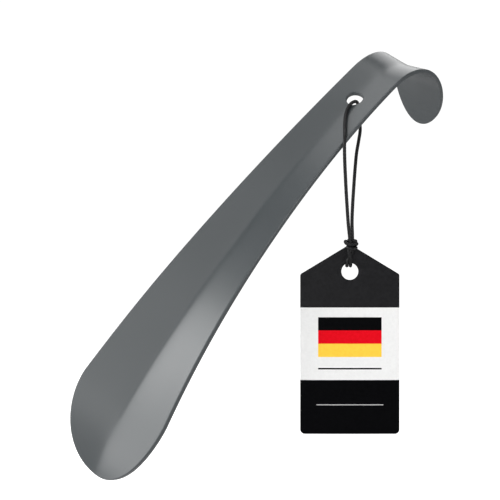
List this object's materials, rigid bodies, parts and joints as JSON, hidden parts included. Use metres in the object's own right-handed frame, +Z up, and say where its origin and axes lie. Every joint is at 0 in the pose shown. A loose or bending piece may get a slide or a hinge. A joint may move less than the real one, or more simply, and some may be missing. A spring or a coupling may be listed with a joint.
{
  "type": "long shoehorn",
  "caption": "Long shoehorn bent from one steel sheet, with a creased blade, a tapering handle and a hook that goes over a rail. A card tag hangs from its handle on a knotted cord.",
  "frame": {"origin": "centre of the hook's bend, on the horn's middle plane: the axis of a rail that fills the bend", "axes": "+Z up as the tag hangs; the horn leans, with its tip low at -X and its hook high at +X; its hollow face looks towards -Y and up"},
  "size_m": [0.1956, 0.1286, 0.2176],
  "materials": {
    "coated_steel": "satin",
    "waxed_cord": "waxed",
    "black_card": "matte"
  },
  "bodies": {
    "root": {"shoehorn": "coated_steel", "cord_neck": "waxed_cord"},
    "strands": {"cord_front_strand": "waxed_cord", "cord_back_strand": "waxed_cord"},
    "knot": {"cord_knot": "waxed_cord", "tag_loop": "waxed_cord"},
    "tag": {"hang_tag": "black_card"}
  },
  "joints": [
    {"name": "cord_swing", "type": "hinge", "parent": "root", "child": "strands", "pos_m": [-0.0242, -0.0557, -0.013], "axis": [0.3062, 0.7288, 0.6124], "range_deg": [-25, 25]},
    {"name": "tag_twist", "type": "hinge", "parent": "strands", "child": "knot", "pos_m": [-0.0202, -0.0498, -0.0632], "axis": [0, 0, 1], "range_deg": [-90, 90]},
    {"name": "tag_swing", "type": "hinge", "parent": "knot", "child": "tag", "pos_m": [-0.0206, -0.046, -0.0764], "axis": [0, 1, 0], "range_deg": [-60, 60]}
  ]
}
